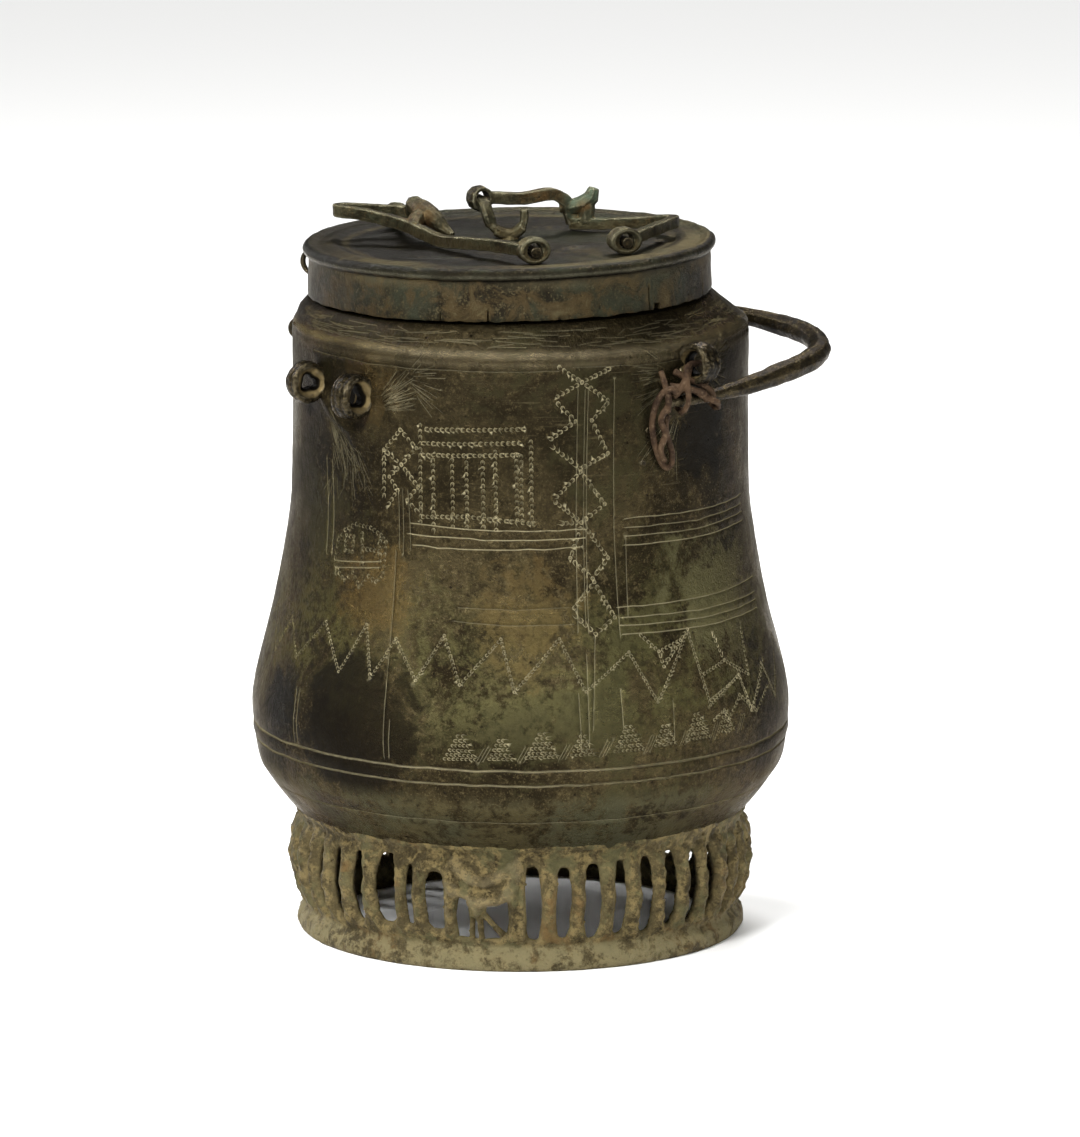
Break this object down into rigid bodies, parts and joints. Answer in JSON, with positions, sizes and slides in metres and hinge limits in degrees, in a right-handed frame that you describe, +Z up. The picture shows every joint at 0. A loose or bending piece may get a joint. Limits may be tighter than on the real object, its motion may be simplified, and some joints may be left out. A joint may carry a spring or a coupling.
{
  "type": "kuduo vessel",
  "caption": "Lidded cast copper-alloy vessel with a pear-shaped body on an openwork foot, a side bail lashed to a ring lug, and cast fetters on the lid.",
  "frame": {"origin": "centre of the bounding box's underside, on the plane that the foot stands on", "axes": "+Z up, -Y towards the side seen in the picture, +X towards the bail"},
  "size_m": [0.2084, 0.1938, 0.2684],
  "materials": {
    "vessel_metal": "dark olive-brown patina with ochre dust in the engraving",
    "lid_metal": "dark grey-green patina, rubbed on high spots",
    "thong": "dry dark red-brown leather"
  },
  "bodies": {
    "root": {"vessel": "vessel_metal", "lid": "lid_metal", "bail": "vessel_metal", "thong_wrap": "thong", "thong_loop": "thong", "left_fetter": "lid_metal", "left_fetter_pin": "lid_metal", "right_fetter": "lid_metal", "right_fetter_pin": "lid_metal"}
  },
  "joints": []
}
